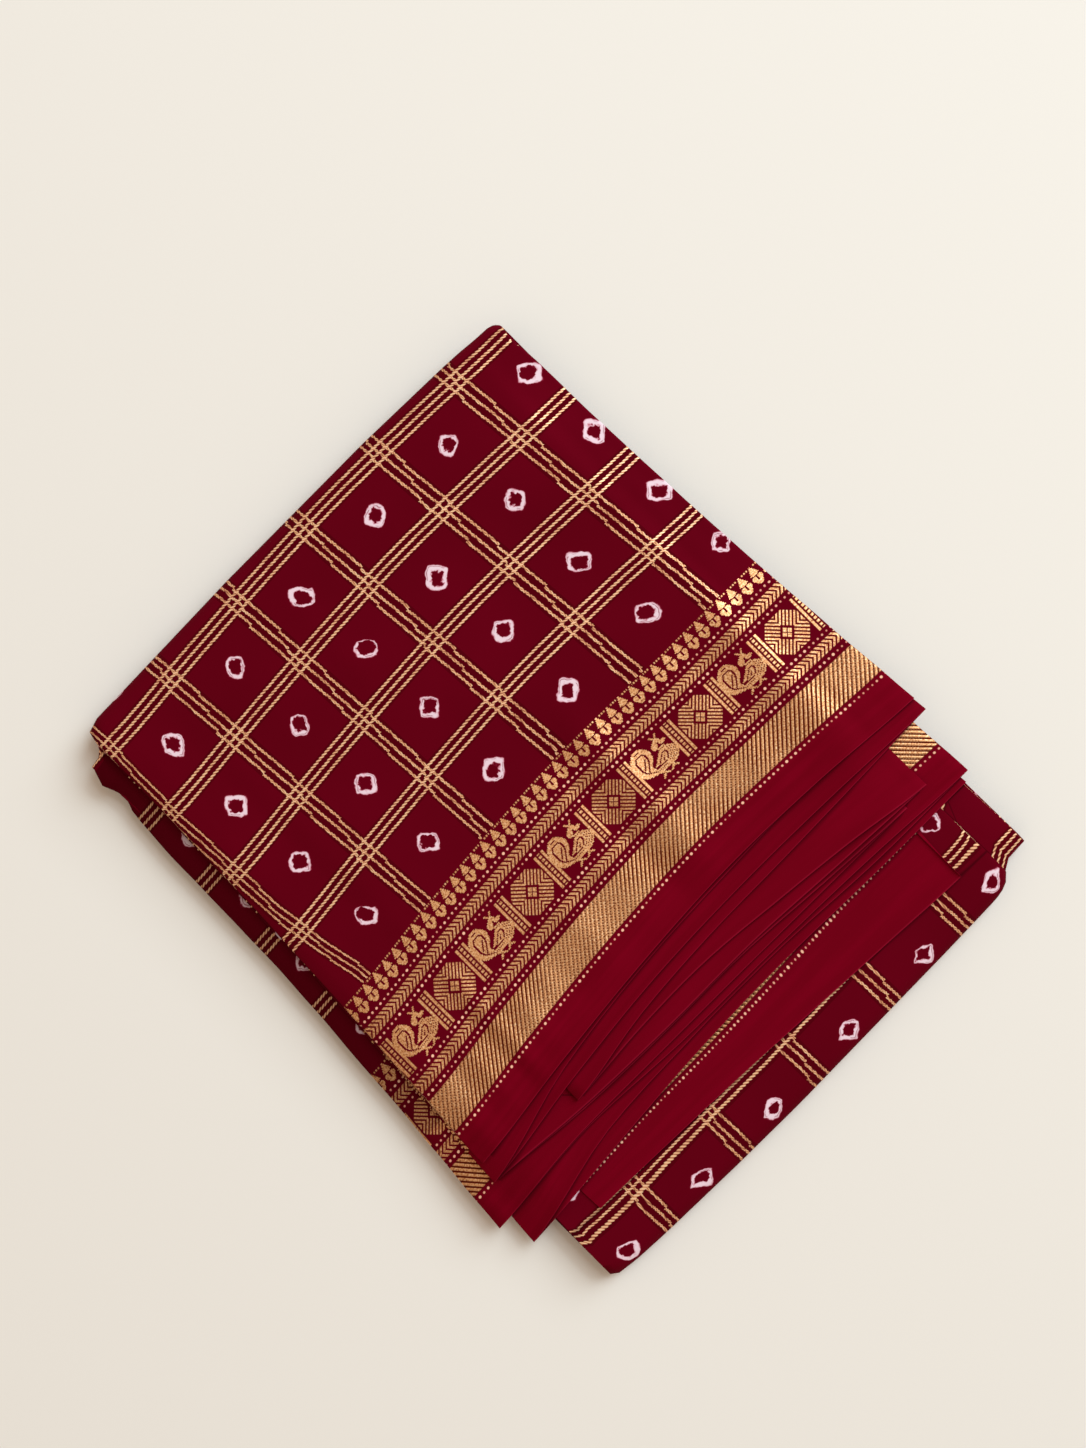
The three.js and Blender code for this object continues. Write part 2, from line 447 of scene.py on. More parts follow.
# How far the first of them strays along X as it runs up: (y, shift)
firstColumnShift = [(11, 0), (35, -3.5), (71, -6.5), (95, -5.8), (155, -5.2), (191, -2.5), (215, 0)]
checkSize = (63, 51.2)  # of one cell, along and across the cloth
firstCheckRow = 168.9  # from the selvedge
lastCheckRow = 16  # counted from the first
friezePeriod = 72.8
friezeStart = 28.8  # X of a medallion on the top panel
# How much the cloth of the top panel is pulled out along Y, in the border and beyond it, from its left
# to its right end
pulled = {"border": (1.055, 1.033, 1.008, 0.995, 1.065), "body": (1.043, 1.022, 1.008, 1.006, 1.017)}
lowerCloth = {14: 862.5, 12: 834.5}  # cloth used up at the lower fold, where its checks show
lastPull = (0.81, 0.99, 1.11, 1.34, 1.62, 1.81)  # the same as pulled, for the last panel's border
plainPanels = (5, 6, 7)  # only their plain edge shows in the fan
flattened = [(0.0, 0.0), (0.947, 0.0), (0.978, 5.0), (1.0, 0.0)]  # cloth held back before the lower fold


def topPanelCloth(x, y):
    share = (y - checkColumns["yBorder"]) / (checkColumns["yUpper"] - checkColumns["yBorder"])
    lines = [mix(low, high, share) for low, high in zip(checkColumns["border"], checkColumns["upper"])]
    lines[0] += readOutline(firstColumnShift, y)
    index = sum(1 for line in lines[1:-1] if line < x)
    along = index + (x - lines[index]) / (lines[index + 1] - lines[index])
    # The first line looks narrower, as the cloth hangs down there
    fromFirst = x - lines[0]
    squeezed = 0.35 * fromFirst * (1 - smooth((abs(fromFirst) - 4) / 9))
    return checkColumns["first"] + checkSize[0] * along + squeezed


def acrossTop(panel, share, x, distance):
    # How far a place in the top stack is from the selvedge in the flat cloth
    if panel == 1:
        inBorder, inBody = (readCurve(pulled[key], (x + 200) / 400) for key in ("border", "body"))
        borderEnd, rowPlace = border["steepleStart"] * inBorder, firstCheckRow * inBody
        if distance < borderEnd:
            return distance / inBorder
        if distance < rowPlace:
            share = (distance - borderEnd) / (rowPlace - borderEnd)
            return mix(border["steepleStart"], firstCheckRow, share)
        return distance / inBody
    if panel in plainPanels:
        return distance / mix(1.75, 1.0, smooth((distance - 50) / 60))
    if panel >= hiddenPanel:
        return distance / mix(readCurve(lastPull, share), 1.0, smooth((distance - 50) / 60))
    return distance


def clothPlace(column, row, x, y, folds):
    # The place in the flat cloth: along its length, across from the fanned selvedge, and the length
    # again for the border, whose motifs keep their own places
    panel, share, height, reach, facing = column
    stretch, rowShare = row
    headsRight = panel % 2 == 1
    ends = [foldCloth(index, folds[index], row, y) for index in (panel, panel + 1)]
    along = mix(*ends, share if headsRight else 1 - share)
    run = along
    if panel == 1 and stretch in ("top", "upperFold"):
        along = topPanelCloth(x, y)
        run = x - friezeStart
    if panel == 9:
        run = -along  # the ribs of its border slant the other way
    inner, stack = saree["innerRadius"], saree["stackHeight"]
    upperCentre = readOutline(upperOutline, x) - inner - stack
    lowerCentre = readOutline(lowerOutline, x) + inner + stack
    selvedge = selvedgePlace(panel, share, reach)
    top = acrossTop(panel, share, x, upperCentre - selvedge)
    upperEnd = top + math.pi * (inner + height)
    lowerStart = lowerCloth.get(panel, upperEnd + upperCentre - lowerCentre)
    if panel == layerCount - 1:
        lowerStart -= 2.4 * smooth((-60 - x) / 100)
        lowerStart -= 0.6 * max(lowerCentre + 222.6, 0) * smooth(x / 60)
    lowerEnd = lowerStart + math.pi * (inner + stack - height)
    if stretch == "top":
        return along, acrossTop(panel, share, x, (upperCentre - selvedge) * rowShare), run
    if stretch == "middle":
        # The rings look flatter where the cloth turns under
        flatter = readOutline(flattened, rowShare) if panel == layerCount - 1 else 0.0
        return along, mix(upperEnd, lowerStart, rowShare) - flatter, run
    spans = {
        "upperFold": (top, upperEnd), "lowerFold": (lowerStart, lowerEnd),
        "bottom": (lowerEnd, saree["width"]),
    }
    return along, mix(*spans[stretch], rowShare), run


def foldCloth(index, foldX, row, y):
    if index == 9 and row[0] == "top":
        # Drawn in near the upper fold, so that a ring lies under the top panel there
        return pleatFolds[index][5] + 6 * smooth((row[1] - 0.87) / 0.07)
    if index not in (1, 2):
        return pleatFolds[index][5]
    return topPanelCloth(foldX, y if row[0] == "top" else checkColumns["yUpper"])


def makeSaree():
    columns, rows = makeColumns(), makeRows()
    foldRows = [[foldPlace(index, row) for index in range(len(pleatFolds))] for row in rows]
    points, places = [], []
    for sign in (1, -1):
        for column in columns:
            for row, folds in zip(rows, foldRows):
                x, y, z = clothPoint(column, row, sign, folds)
                points.append([value * metresPerMm for value in flared(x, y, z)])
                # How far each place lies from an edge above, kept in a UV map for the painted shade under
                # that edge
                fromEdge = belowEdge(column[0], x, y, row[0], folds)
                places.append((*clothPlace(column, row, x, y, folds), fromEdge, x))
    across = len(rows)
    backStart = len(columns) * across
    lastColumn, lastRow = len(columns) - 1, across - 1
    quads = []
    for i in range(lastColumn):
        for j in range(lastRow):
            a, b = i * across + j, (i + 1) * across + j
            quads.append((a, b, b + 1, a + 1))
            quads.append((backStart + a + 1, backStart + b + 1, backStart + b, backStart + a))
        a, b = i * across, (i + 1) * across
        quads.append((backStart + a, backStart + b, b, a))
        a, b = a + lastRow, b + lastRow
        quads.append((a, b, backStart + b, backStart + a))
    for j in range(lastRow):
        a, b = j, lastColumn * across + j
        quads.append((backStart + a, a, a + 1, backStart + a + 1))
        quads.append((backStart + b + 1, b + 1, b, backStart + b))
    mesh = bpy.data.meshes.new("sareeCloth")
    mesh.from_pydata(points, [], quads)
    clothMap, runMap, edgeMap = (mesh.uv_layers.new(name=name) for name in ("cloth", "run", "underEdge"))
    for loop in mesh.loops:
        along, across, run, fromEdge, x = places[loop.vertex_index]
        clothMap.data[loop.index].uv = (along * metresPerMm, across * metresPerMm)
        runMap.data[loop.index].uv = (run * metresPerMm, across * metresPerMm)
        edgeMap.data[loop.index].uv = (x * metresPerMm, fromEdge * metresPerMm)
    mesh.shade_smooth()
    mesh.set_sharp_from_angle(angle=math.radians(65))
    mesh.update()
    piece = bpy.data.objects.new("foldedSaree", mesh)
    bpy.context.scene.collection.objects.link(piece)
    return piece


def linearColour(hexText):
    # sRGB hex to linear red, green, blue and full alpha
    parts = [int(hexText[index:index + 2], 16) / 255 for index in (0, 2, 4)]
    linear = [part / 12.92 if part <= 0.04045 else ((part + 0.055) / 1.055) ** 2.4 for part in parts]
    return (*linear, 1.0)


def addNode(tree, kind, *inputs, out=0, **settings):
    # Adds a node and gives one of its outputs. "Math.ADD" is a Math node set to ADD. Inputs are
    # sockets to link or values to set, in the node's own order or as a dictionary of names.
    name, _, operation = kind.partition(".")
    node = tree.nodes.new("ShaderNode" + name)
    if operation:
        node.operation = operation
    for key, value in settings.items():
        setattr(node, key, value)
    places = inputs[0] if inputs and isinstance(inputs[0], dict) else dict(enumerate(inputs))
    for place, value in places.items():
        if isinstance(value, bpy.types.NodeSocket):
            tree.links.new(value, node.inputs[place])
        elif value is not None:
            node.inputs[place].default_value = value
    return node.outputs[out]


# The peacock of the frieze, one row for each pair of weft threads. A hash is gold, a dot is ground.
peacockChart = [
    ".........########..............##.....##........",
    ".......############.............##...##.........",
    "......####......####.............##.##..........",
    "....#################.............###...........",
    "...###################..........######..........",
    "..######.........######.......#########.........",
    "..#####..#######..#####.....###########.........",
    ".#####..#########..#####...#######..#######.....",
    "#####..##########..#####...#######..########....",
    ".####..##########..#####...######....#####......",
    ".####..#######..#..####.....####................",
    ".####..######..##..####........########.........",
    ".####..#####..##..#####.........#.#.#.#.........",
    ".####..####..###..####........############......",
    ".####..###..###..####.......###########.###.....",
    ".####..##..###..####.......####.....#####.###...",
    ".####..#..###..###.......####..####..##.###.##..",
    ".#####..####..###......#####..#####..####.###.#.",
    ".#####..###..###......####..###.###..##.###.####",
    ".######..#..####....####..###..###..####.###.###",
    "..######...#####..#####..###..###..###.###.####.",
    "...#######..#####......#########..##.###.###.##.",
    "....########..###..............####.###.###.##..",
    "......########..#################.###.###.###...",
    ".........#######.#.#.#.#.#.#.######.###.###.....",
    ".............#############################......",
    ".................######################.........",
    "...................###.........###..............",
    "....................###.......####..............",
    "..................###.###....###.###............",
    ".................###....##.###.....##...........",
    "................##..............................",
]

# The bead and steeple of the border's inner edge
steepleChart = [
    "......##......",
    "......##......",
    ".....####.....",
    ".....####.....",
    "....######....",
    "....######....",
    "...########...",
    "...########...",
    "..##########..",
    "....######....",
    "..............",
    "..####..####..",
    ".#####..#####.",
    ".#####..#####.",
    ".#####..#####.",
    "..####..####..",
    "...########...",
    "...########...",
    "....######....",
    ".....####.....",
]


def chartedMotif(tree, chart, column, row):
    # Reads one square of a chart, with column and row counted in squares from its upper left corner.
    # A ramp holds each row as whole numbers, sixteen squares to a colour channel.
    squares, rowCount = 16, len(chart)
    inRow = addNode(tree, "Math.DIVIDE", addNode(tree, "Math.ADD", addNode(tree, "Math.FLOOR", row), 0.5),
                    float(rowCount))
    rampOut = addNode(tree, "ValToRGB", inRow)
    ramp = rampOut.node.color_ramp
    ramp.interpolation = "CONSTANT"
    ramp.elements.remove(ramp.elements[-1])
    for index, text in enumerate(chart):
        cells = text.ljust(3 * squares, ".").replace("#", "1").replace(".", "0")
        codes = [int(cells[start:start + squares], 2) / 2**squares for start in (0, squares, 2 * squares)]
        isFirst = index == 0
        element = ramp.elements[0] if isFirst else ramp.elements.new(index / rowCount)
        element.position = index / rowCount
        element.color = (*codes, 1.0)
    channels = addNode(tree, "SeparateColor", rampOut).node.outputs
    cell = addNode(tree, "Math.FLOOR", column)
    inSecond = addNode(tree, "Math.GREATER_THAN", cell, squares - 0.5)
    inThird = addNode(tree, "Math.GREATER_THAN", cell, 2 * squares - 0.5)
    code = addNode(tree, "Mix", {0: inSecond, 2: channels[0], 3: channels[1]})
    code = addNode(tree, "Mix", {0: inThird, 2: code, 3: channels[2]})
    code = addNode(tree, "Math.MULTIPLY_ADD", code, float(2**squares), 0.5)
    placeInChannel = addNode(tree, "Math.MODULO", cell, float(squares))
    power = addNode(tree, "Math.POWER", 2.0, addNode(tree, "Math.SUBTRACT", squares - 1.0, placeInChannel))
    shifted = addNode(tree, "Math.FLOOR", addNode(tree, "Math.DIVIDE", code, power))
    filled = addNode(tree, "Math.MODULO", shifted, 2.0)
    wide = between(tree, column, 0.0, float(len(chart[0])))
    return addNode(tree, "Math.MULTIPLY", addNode(tree, "Math.MULTIPLY", filled, wide),
                   between(tree, row, 0.0, float(rowCount)))


def between(tree, value, low, high):
    above = addNode(tree, "Math.GREATER_THAN", value, low)
    return addNode(tree, "Math.MULTIPLY", above, addNode(tree, "Math.LESS_THAN", value, high))


def within(tree, distance, reach, blur):
    # 1 where a distance is less than its reach, with a soft edge
    inside = addNode(tree, "Math.SUBTRACT", reach, distance)
    return addNode(tree, "Math.MULTIPLY_ADD", inside, 1 / blur, 0.5, use_clamp=True)


def nearest(tree, value, period, start=0.0):
    # Signed distance to the nearest of an even row of places, and which of them it is
    places = addNode(tree, "Math.MULTIPLY_ADD", value, 1 / period, -start / period)
    index = addNode(tree, "Math.ROUND", places)
    away = addNode(tree, "Math.MULTIPLY", addNode(tree, "Math.SUBTRACT", places, index), period)
    return away, index


def together(tree, *masks):
    # Threads of several masks as one
    result = masks[0]
    for mask in masks[1:]:
        result = addNode(tree, "Math.MAXIMUM", result, mask)
    return result


def apart(tree, value, place):
    # How far a value is from a place, whichever side it is on
    return addNode(tree, "Math.ABSOLUTE", addNode(tree, "Math.SUBTRACT", value, place))


def varied(tree, value, chance, spread):
    # A value that chance makes up to half the spread larger or smaller
    return addNode(tree, "Math.ADD", value,
                   addNode(tree, "Math.MULTIPLY_ADD", chance, spread, -spread / 2))


zariCheck = {
    "ropeSpread": 4.4,  # between the three threads of a line that runs along the cloth
    "ropeWidth": 0.66,  # half of such a thread
    "ropeTwist": 2.7,  # length of one turn of it
    "ropeWaver": 0.6,  # how far such threads waver from side to side
    "chainSpread": 5.0,  # between the three threads of a line that runs across
    "chainWidth": 0.36,  # half of each strand of such a thread, which are in pairs
    "chainSwing": 0.52,  # how far the two strands part
    "chainLink": 5.4,  # length of two links
    "chainWaver": 1.4,
    "jog": 1.3,  # how far the threads across jump
    "wavers": 0.16, "jogs": 0.027,  # of them to a millimetre
    "glint": 1.05,  # how much of the painted glint changes along a thread
}


def threadPlace(tree, away, line, length, spread, sway, jog):
    # The nearest of three threads: how far its middle is, whether there is one, and its own wavering
    thread = addNode(tree, "Math.ROUND", addNode(tree, "Math.DIVIDE", away, spread))
    inLine = addNode(tree, "Math.LESS_THAN", addNode(tree, "Math.ABSOLUTE", away), spread * 1.5)
    local = addNode(tree, "Math.SUBTRACT", away, addNode(tree, "Math.MULTIPLY", thread, spread))
    own = addNode(tree, "Math.MULTIPLY_ADD", line, 3.3, addNode(tree, "Math.MULTIPLY", thread, 1.7))
    where = addNode(tree, "CombineXYZ",
                    addNode(tree, "Math.MULTIPLY", length, zariCheck["wavers"]), own, 0.0)
    waver = addNode(tree, "TexNoise", {"Vector": where, "Scale": 1.0, "Detail": 1.0})
    local = varied(tree, local, waver, sway)
    if jog:
        slide = addNode(tree, "Math.FRACT",
                        addNode(tree, "Math.MULTIPLY_ADD", length, zariCheck["jogs"], own))
        local = varied(tree, local, slide, jog)
    return local, inLine, waver


def ropeThreads(tree, away, line, length):
    local, inLine, waver = threadPlace(tree, away, line, length, zariCheck["ropeSpread"],
                                       zariCheck["ropeWaver"], 0.0)
    turn = addNode(tree, "Math.MULTIPLY_ADD", local, 1.5, length)
    swing = addNode(tree, "Math.SINE",
                    addNode(tree, "Math.MULTIPLY", turn, 2 * math.pi / zariCheck["ropeTwist"]))
    reach = addNode(tree, "Math.MULTIPLY_ADD", swing, 0.2, zariCheck["ropeWidth"])
    mask = within(tree, addNode(tree, "Math.ABSOLUTE", local), reach, 0.3)
    # Painted glint where the rope's twist turns towards the light
    glint = addNode(tree, "Math.MULTIPLY_ADD", swing, 0.36,
                    addNode(tree, "Math.MULTIPLY", waver, zariCheck["glint"]))
    return addNode(tree, "Math.MULTIPLY", mask, inLine), glint, inLine


def chainThreads(tree, away, line, length):
    local, inLine, waver = threadPlace(tree, away, line, length, zariCheck["chainSpread"],
                                       zariCheck["chainWaver"], zariCheck["jog"])
    phase = addNode(tree, "Math.MULTIPLY_ADD", waver, 9.0,
                    addNode(tree, "Math.MULTIPLY", length, 2 * math.pi / zariCheck["chainLink"]))
    swing = addNode(tree, "Math.SINE", phase)
    part = addNode(tree, "Math.MULTIPLY", addNode(tree, "Math.ABSOLUTE", swing), zariCheck["chainSwing"])
    fromStrand = apart(tree, addNode(tree, "Math.ABSOLUTE", local), part)
    mask = within(tree, fromStrand, zariCheck["chainWidth"], 0.3)
    # Painted light on one side of each strand, which makes up its glint
    lit = addNode(tree, "Math.MULTIPLY", addNode(tree, "Math.COSINE", phase), local)
    glint = addNode(tree, "Math.MULTIPLY_ADD", lit, 0.6,
                    addNode(tree, "Math.MULTIPLY", waver, zariCheck["glint"]))
    return addNode(tree, "Math.MULTIPLY", mask, inLine), glint, inLine


def zariLines(tree, along, across, body):
    # The threads, their painted glint, and the strips of ground that carry them
    awayAcross, lineAcross = nearest(tree, across, checkSize[1], firstCheckRow)
    rope, ropeGlint, ropeStrip = ropeThreads(tree, awayAcross, lineAcross, along)
    awayAlong, lineAlong = nearest(tree, along, checkSize[0])
    chain, chainGlint, chainStrip = chainThreads(tree, awayAlong, lineAlong, across)
    rows = between(tree, lineAcross, -0.5, lastCheckRow + 0.5)
    rope = addNode(tree, "Math.MULTIPLY", rope, rows)
    onRope = addNode(tree, "Math.GREATER_THAN", rope, 0.4)
    glint = addNode(tree, "Mix", {0: onRope, 2: chainGlint, 3: ropeGlint})
    strips = together(tree, addNode(tree, "Math.MULTIPLY", ropeStrip, rows), chainStrip)
    return (addNode(tree, "Math.MULTIPLY", together(tree, rope, chain), body), glint,
            addNode(tree, "Math.MULTIPLY", strips, body))


tiedRing = {
    "outer": 7.8,  # from its middle to the corners of the undyed line
    "inner": 4.8,  # to the corners of the dyed middle
    "square": 1.35,  # 1 is a diamond, 2 a circle
    "seam": 1.2,  # how far inside the line's outer edge a thin dyed line runs
    "stray": (4.0, 3.0),  # how far one ring and another differ in place
    "sizeSpread": 1.6, "holeSpread": 1.0, "lean": 0.5,
    "offCentre": 1.6,  # of the dyed middle
    "bend": 4.0, "bends": 0.13,  # how far the ring bends, and how many bends to a millimetre
    "raggedLine": 1.3, "raggedHole": 4.2, "rags": 0.42,
    "lineBlur": 0.35, "bleedBlur": 0.9,  # the line's soft edge, and how far the dye bled into it
}


def ringDistance(tree, x, y):
    power = tiedRing["square"]
    x = addNode(tree, "Math.POWER", addNode(tree, "Math.ABSOLUTE", x), power)
    y = addNode(tree, "Math.POWER", addNode(tree, "Math.ABSOLUTE", y), power)
    return addNode(tree, "Math.POWER", addNode(tree, "Math.ADD", x, y), 1 / power)


def tiedRings(tree, along, across, body):
    # The undyed rings that the tied knots leave, one in each cell of the check
    awayAlong, cellAlong = nearest(tree, along, checkSize[0], checkSize[0] / 2)
    awayAcross, cellAcross = nearest(tree, across, checkSize[1], firstCheckRow + checkSize[1] / 2)
    cell = addNode(tree, "CombineXYZ", cellAlong, cellAcross, 0.0)
    chance = addNode(tree, "TexWhiteNoise", cell, noise_dimensions="2D", out=1)
    chances = addNode(tree, "SeparateXYZ", chance).node.outputs
    grain = addNode(tree, "CombineXYZ", along, across, 0.0)
    ragged = addNode(tree, "TexNoise", {"Vector": grain, "Scale": tiedRing["bends"], "Detail": 1.0}, out=1)
    ragged = addNode(tree, "SeparateXYZ", ragged).node.outputs
    strayAlong, strayAcross = tiedRing["stray"]
    bend, offCentre = tiedRing["bend"], tiedRing["offCentre"]
    x = varied(tree, varied(tree, awayAlong, chances[0], strayAlong), ragged[0], bend)
    y = varied(tree, varied(tree, awayAcross, chances[1], strayAcross), ragged[1], bend)
    lean = addNode(tree, "Math.MULTIPLY_ADD", chances[2], tiedRing["lean"], -tiedRing["lean"] / 2)
    x = addNode(tree, "Math.ADD", x, addNode(tree, "Math.MULTIPLY", y, lean))
    fine = addNode(tree, "TexNoise", {"Vector": grain, "Scale": tiedRing["rags"], "Detail": 1.0}, out=1)
    fines = addNode(tree, "SeparateXYZ", fine).node.outputs
    spread = tiedRing["sizeSpread"]
    size = addNode(tree, "Math.MULTIPLY_ADD", chances[1], spread, tiedRing["outer"] - spread / 2)
    inside = addNode(tree, "Math.SUBTRACT", size, ringDistance(tree, x, y))
    inside = varied(tree, inside, fines[0], tiedRing["raggedLine"])
    # The dyed middle sits a little off, with a more ragged edge
    x, y = varied(tree, x, chances[1], offCentre), varied(tree, y, chances[0], offCentre)
    spread = tiedRing["holeSpread"]
    holeSize = addNode(tree, "Math.MULTIPLY_ADD", chances[2], spread, tiedRing["inner"] - spread / 2)
    outside = addNode(tree, "Math.SUBTRACT", ringDistance(tree, x, y), holeSize)
    outside = varied(tree, outside, fines[1], tiedRing["raggedHole"])
    depth = addNode(tree, "Math.MINIMUM", inside, outside)
    # A thin dyed line runs round inside some stretches of the ring
    seam = within(tree, apart(tree, inside, tiedRing["seam"]), 0.22, 0.4)
    seam = addNode(tree, "Math.MULTIPLY", seam,
                   addNode(tree, "MapRange", {0: ragged[2], 1: 0.5, 2: 0.56, 3: 0.0, 4: 0.85}))
    line = addNode(tree, "Math.MULTIPLY_ADD", depth, 1 / tiedRing["lineBlur"], 0.3, use_clamp=True)
    line = addNode(tree, "Math.MULTIPLY", line, addNode(tree, "Math.SUBTRACT", 1.0, seam))
    bleed = addNode(tree, "Math.MULTIPLY_ADD", depth, 1 / tiedRing["bleedBlur"], 0.7, use_clamp=True)
    whiteness = addNode(tree, "Math.MULTIPLY_ADD", depth, 1 / tiedRing["bleedBlur"],
                        addNode(tree, "Math.MULTIPLY_ADD", fines[2], 1.6, -0.8), use_clamp=True)
    return addNode(tree, "Math.MULTIPLY", line, body), addNode(tree, "Math.MULTIPLY", bleed, body), whiteness


# The border, in millimetres from the selvedge
border = {
    "dotRows": (21.5, 49.5, 62.0, 92.1, 104.7),
    "dotPitch": 3.62, "dotSize": (0.8, 0.72),
    "chevronMiddles": (56.0, 98.2), "chevronHalf": 3.5, "chevronPitch": 3.2,
    "band": (24.3, 46.6), "ribPitch": 3.5, "ribLean": 0.9,
    "friezeMiddle": 76.8, "friezeHalf": 12.3,
    "ribBeat": 2.1,  # between the threads that bridge two ribs
    "bridges": 0.018,  # patches of such threads to a millimetre
    "steepleStart": 107.2, "steeplePitch": 9.2, "square": 0.63,
    "fleckPitch": 1.9, "fleckHalf": 0.5, "fleckClear": 2.1,  # of a steeple's middle
    "body": 120.4,
}


def nearestOf(tree, value, places):
    result = None
    for place in places:
        away = apart(tree, value, place)
        result = away if result is None else addNode(tree, "Math.MINIMUM", result, away)
    return result


def borderDots(tree, run, edge):
    off = addNode(tree, "Math.DIVIDE", nearestOf(tree, edge, border["dotRows"]), border["dotSize"][1])
    away, index = nearest(tree, run, border["dotPitch"])
    away = addNode(tree, "Math.DIVIDE", away, border["dotSize"][0])
    distance = addNode(tree, "Math.SQRT", addNode(tree, "Math.ADD", addNode(tree, "Math.MULTIPLY", off, off),
                                                  addNode(tree, "Math.MULTIPLY", away, away)))
    row = addNode(tree, "Math.ROUND", addNode(tree, "Math.MULTIPLY", edge, 0.1))
    chance = addNode(tree, "TexWhiteNoise", addNode(tree, "CombineXYZ", index, row, 0.0),
                     noise_dimensions="2D")
    return within(tree, distance, addNode(tree, "Math.MULTIPLY_ADD", chance, 0.45, 0.7), 0.4), chance


def borderChevrons(tree, run, edge):
    off = nearestOf(tree, edge, border["chevronMiddles"])
    pitch = border["chevronPitch"]
    away = nearest(tree, addNode(tree, "Math.MULTIPLY_ADD", off, 0.95, run), pitch)[0]
    away = addNode(tree, "Math.ABSOLUTE", away)
    split = addNode(tree, "Math.MULTIPLY_ADD", within(tree, away, 0.12, 0.3), -0.5, 1.0)
    stroke = addNode(tree, "Math.MULTIPLY", within(tree, away, 0.26 * pitch, 0.4), split)
    return addNode(tree, "Math.MULTIPLY", stroke, within(tree, off, border["chevronHalf"], 0.5))


def borderBand(tree, run, edge):
    # The wide gold band with its slanting ribs, and holes between them where the ground shows through
    low, high = border["band"]
    slant = addNode(tree, "Math.MULTIPLY_ADD", edge, -border["ribLean"], run)
    away = addNode(tree, "Math.ABSOLUTE", nearest(tree, slant, border["ribPitch"])[0])
    split = addNode(tree, "Math.MULTIPLY_ADD", within(tree, away, 0.1, 0.3), -0.35, 1.0)
    rib = addNode(tree, "Math.MULTIPLY", within(tree, away, 0.28 * border["ribPitch"], 0.4), split)
    along = addNode(tree, "Math.MULTIPLY_ADD", run, border["ribLean"], edge)
    beat = addNode(tree, "Math.SINE", addNode(tree, "Math.MULTIPLY", along, 2 * math.pi / border["ribBeat"]))
    patch = addNode(tree, "TexNoise", {"Vector": addNode(tree, "CombineXYZ", run, edge, 0.0),
                                       "Scale": border["bridges"], "Detail": 1.0})
    crossed = addNode(tree, "MapRange", {0: patch, 1: 0.45, 2: 0.6, 3: 0.0, 4: 0.75})
    bridge = addNode(tree, "Math.MULTIPLY", addNode(tree, "Math.MULTIPLY_ADD", beat, 0.5, 0.5), crossed)
    filled = together(tree, rib, bridge)
    inside = within(tree, apart(tree, edge, (low + high) / 2), (high - low) / 2, 0.5)
    swell = addNode(tree, "Math.COSINE",
                    addNode(tree, "Math.MULTIPLY", slant, 2 * math.pi / border["ribPitch"]))
    return (addNode(tree, "Math.MULTIPLY", filled, inside), inside,
            addNode(tree, "Math.MULTIPLY", swell, inside))


medallion = {
    "halfLength": 13.2, "halfHeight": 12.2, "corner": 18.6,
    "hatchPitch": 3.0, "hatchHalf": 0.76,
    "gap": 5.9, "diamond": 3.7,  # to their corners
    "quarterGap": 0.42,
}


def borderMedallions(tree, x, y):
    # An eight-sided medallion hatched towards its middle, with a quartered diamond
    x, y = addNode(tree, "Math.ABSOLUTE", x), addNode(tree, "Math.ABSOLUTE", y)
    total = addNode(tree, "Math.ADD", x, y)
    outline = addNode(tree, "Math.MULTIPLY", within(tree, x, medallion["halfLength"], 0.4),
                      within(tree, y, medallion["halfHeight"], 0.4))
    outline = addNode(tree, "Math.MULTIPLY", outline, within(tree, total, medallion["corner"], 0.6))
    away = nearest(tree, addNode(tree, "Math.SUBTRACT", x, y), medallion["hatchPitch"])[0]
    hatch = within(tree, addNode(tree, "Math.ABSOLUTE", away), medallion["hatchHalf"], 0.35)
    ground = within(tree, total, medallion["gap"], 0.4)
    hatch = addNode(tree, "Math.MULTIPLY", hatch, addNode(tree, "Math.SUBTRACT", 1.0, ground))
    diamond = within(tree, total, medallion["diamond"], 0.4)
    cross = within(tree, apart(tree, x, y), medallion["quarterGap"], 0.3)
    diamond = addNode(tree, "Math.MULTIPLY", diamond, addNode(tree, "Math.SUBTRACT", 1.0, cross))
    return addNode(tree, "Math.MULTIPLY", together(tree, hatch, diamond), outline)


bars = {"spread": 3.0, "half": 0.82, "dashPitch": 2.5, "dashHalf": (0.95, 0.75)}


def borderBars(tree, x, y):
    # Two bars with a ladder of dashes between them, halfway between two motifs
    off = apart(tree, addNode(tree, "Math.ABSOLUTE", x), friezePeriod / 4)
    bar = within(tree, apart(tree, off, bars["spread"]), bars["half"], 0.4)
    away = nearest(tree, y, bars["dashPitch"])[0]
    halfDashLength, halfDashHeight = bars["dashHalf"]
    dash = addNode(tree, "Math.MULTIPLY", within(tree, off, halfDashLength, 0.4),
                   within(tree, addNode(tree, "Math.ABSOLUTE", away), halfDashHeight, 0.4))
    return together(tree, bar, dash)


def borderFrieze(tree, run, edge):
    y = addNode(tree, "Math.SUBTRACT", edge, border["friezeMiddle"])
    x = nearest(tree, run, friezePeriod)[0]
    xPeacock = nearest(tree, run, friezePeriod, friezePeriod / 2)[0]
    columns, rowCount = len(peacockChart[0]), len(peacockChart)
    tall = 2 * border["friezeHalf"] / rowCount
    column = addNode(tree, "Math.MULTIPLY_ADD", xPeacock, 1 / border["square"], columns / 2)
    row = addNode(tree, "Math.MULTIPLY_ADD", y, -1 / tall, rowCount / 2)
    peacock = chartedMotif(tree, peacockChart, column, row)
    motifs = together(tree, peacock, borderMedallions(tree, x, y), borderBars(tree, x, y))
    inFrieze = within(tree, addNode(tree, "Math.ABSOLUTE", y), border["friezeHalf"], 0.3)
    return addNode(tree, "Math.MULTIPLY", motifs, inFrieze)


